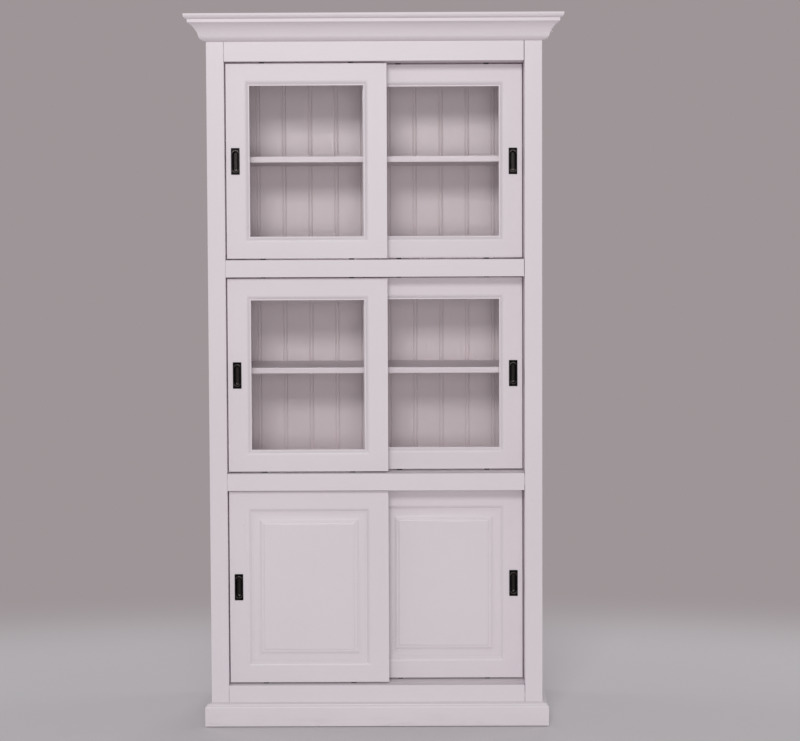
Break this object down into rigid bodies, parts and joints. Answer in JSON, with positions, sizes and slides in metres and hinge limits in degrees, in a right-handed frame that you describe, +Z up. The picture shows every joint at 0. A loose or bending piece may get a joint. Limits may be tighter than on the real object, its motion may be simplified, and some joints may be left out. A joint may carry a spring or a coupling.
{
  "type": "sliding door display cabinet",
  "caption": "Tall white kitchen display cabinet with a cornice, sliding glazed doors above sliding panelled doors, a beaded board back, shelves and dark flush pulls.",
  "frame": {"origin": "on the floor under the middle of the cabinet's whole width and depth", "axes": "+Z up, +Y towards the wall behind, so the doors face -Y, and +X to the right as seen from the front"},
  "size_m": [1.156, 0.515, 2.2],
  "materials": {
    "white_paint": "off-white eggshell paint on wood, brushed, with slightly worn edges",
    "clear_glass": "clear polished float glass",
    "dark_bronze": "dark patinated casting, satin",
    "black_nylon": "matt black nylon",
    "steel": "zinc plated, satin"
  },
  "bodies": {
    "case": {"back_board_screws": "steel", "back_boards": "white_paint", "bottom_deck": "white_paint", "cornice_front": "white_paint", "cornice_left_return": "white_paint", "cornice_right_return": "white_paint", "door_posts": "white_paint", "face_bottom_rail": "white_paint", "face_lower_rail": "white_paint", "face_stile_left": "white_paint", "face_stile_right": "white_paint", "face_top_rail": "white_paint", "face_upper_rail": "white_paint", "lower_deck": "white_paint", "lower_shelf": "white_paint", "middle_shelf": "white_paint", "plinth_front": "white_paint", "plinth_left_return": "white_paint", "plinth_right_return": "white_paint", "shelf_pins": "steel", "side_panel_left": "white_paint", "side_panel_right": "white_paint", "top_board": "white_paint", "top_track_rails": "white_paint", "upper_deck": "white_paint", "upper_shelf": "white_paint"},
    "lower_left_door": {"lower_left_door_gliders": "black_nylon", "lower_left_door_panel": "white_paint", "lower_left_door_pull": "dark_bronze", "lower_left_door_rails": "white_paint", "lower_left_door_stiles": "white_paint"},
    "lower_right_door": {"lower_right_door_gliders": "black_nylon", "lower_right_door_panel": "white_paint", "lower_right_door_pull": "dark_bronze", "lower_right_door_rails": "white_paint", "lower_right_door_stiles": "white_paint"},
    "middle_left_door": {"middle_left_door_beads": "white_paint", "middle_left_door_glass": "clear_glass", "middle_left_door_gliders": "black_nylon", "middle_left_door_pull": "dark_bronze", "middle_left_door_rails": "white_paint", "middle_left_door_stiles": "white_paint"},
    "middle_right_door": {"middle_right_door_beads": "white_paint", "middle_right_door_glass": "clear_glass", "middle_right_door_gliders": "black_nylon", "middle_right_door_pull": "dark_bronze", "middle_right_door_rails": "white_paint", "middle_right_door_stiles": "white_paint"},
    "upper_left_door": {"upper_left_door_beads": "white_paint", "upper_left_door_glass": "clear_glass", "upper_left_door_gliders": "black_nylon", "upper_left_door_pull": "dark_bronze", "upper_left_door_rails": "white_paint", "upper_left_door_stiles": "white_paint"},
    "upper_right_door": {"upper_right_door_beads": "white_paint", "upper_right_door_glass": "clear_glass", "upper_right_door_gliders": "black_nylon", "upper_right_door_pull": "dark_bronze", "upper_right_door_rails": "white_paint", "upper_right_door_stiles": "white_paint"}
  },
  "joints": [
    {"name": "lower_left_slide", "type": "slide", "parent": "case", "child": "lower_left_door", "axis": [1, 0, 0], "range_m": [0, 0.42]},
    {"name": "lower_right_slide", "type": "slide", "parent": "case", "child": "lower_right_door", "axis": [-1, 0, 0], "range_m": [0, 0.42]},
    {"name": "middle_left_slide", "type": "slide", "parent": "case", "child": "middle_left_door", "axis": [1, 0, 0], "range_m": [0, 0.42]},
    {"name": "middle_right_slide", "type": "slide", "parent": "case", "child": "middle_right_door", "axis": [-1, 0, 0], "range_m": [0, 0.42]},
    {"name": "upper_left_slide", "type": "slide", "parent": "case", "child": "upper_left_door", "axis": [1, 0, 0], "range_m": [0, 0.42]},
    {"name": "upper_right_slide", "type": "slide", "parent": "case", "child": "upper_right_door", "axis": [-1, 0, 0], "range_m": [0, 0.42]}
  ]
}
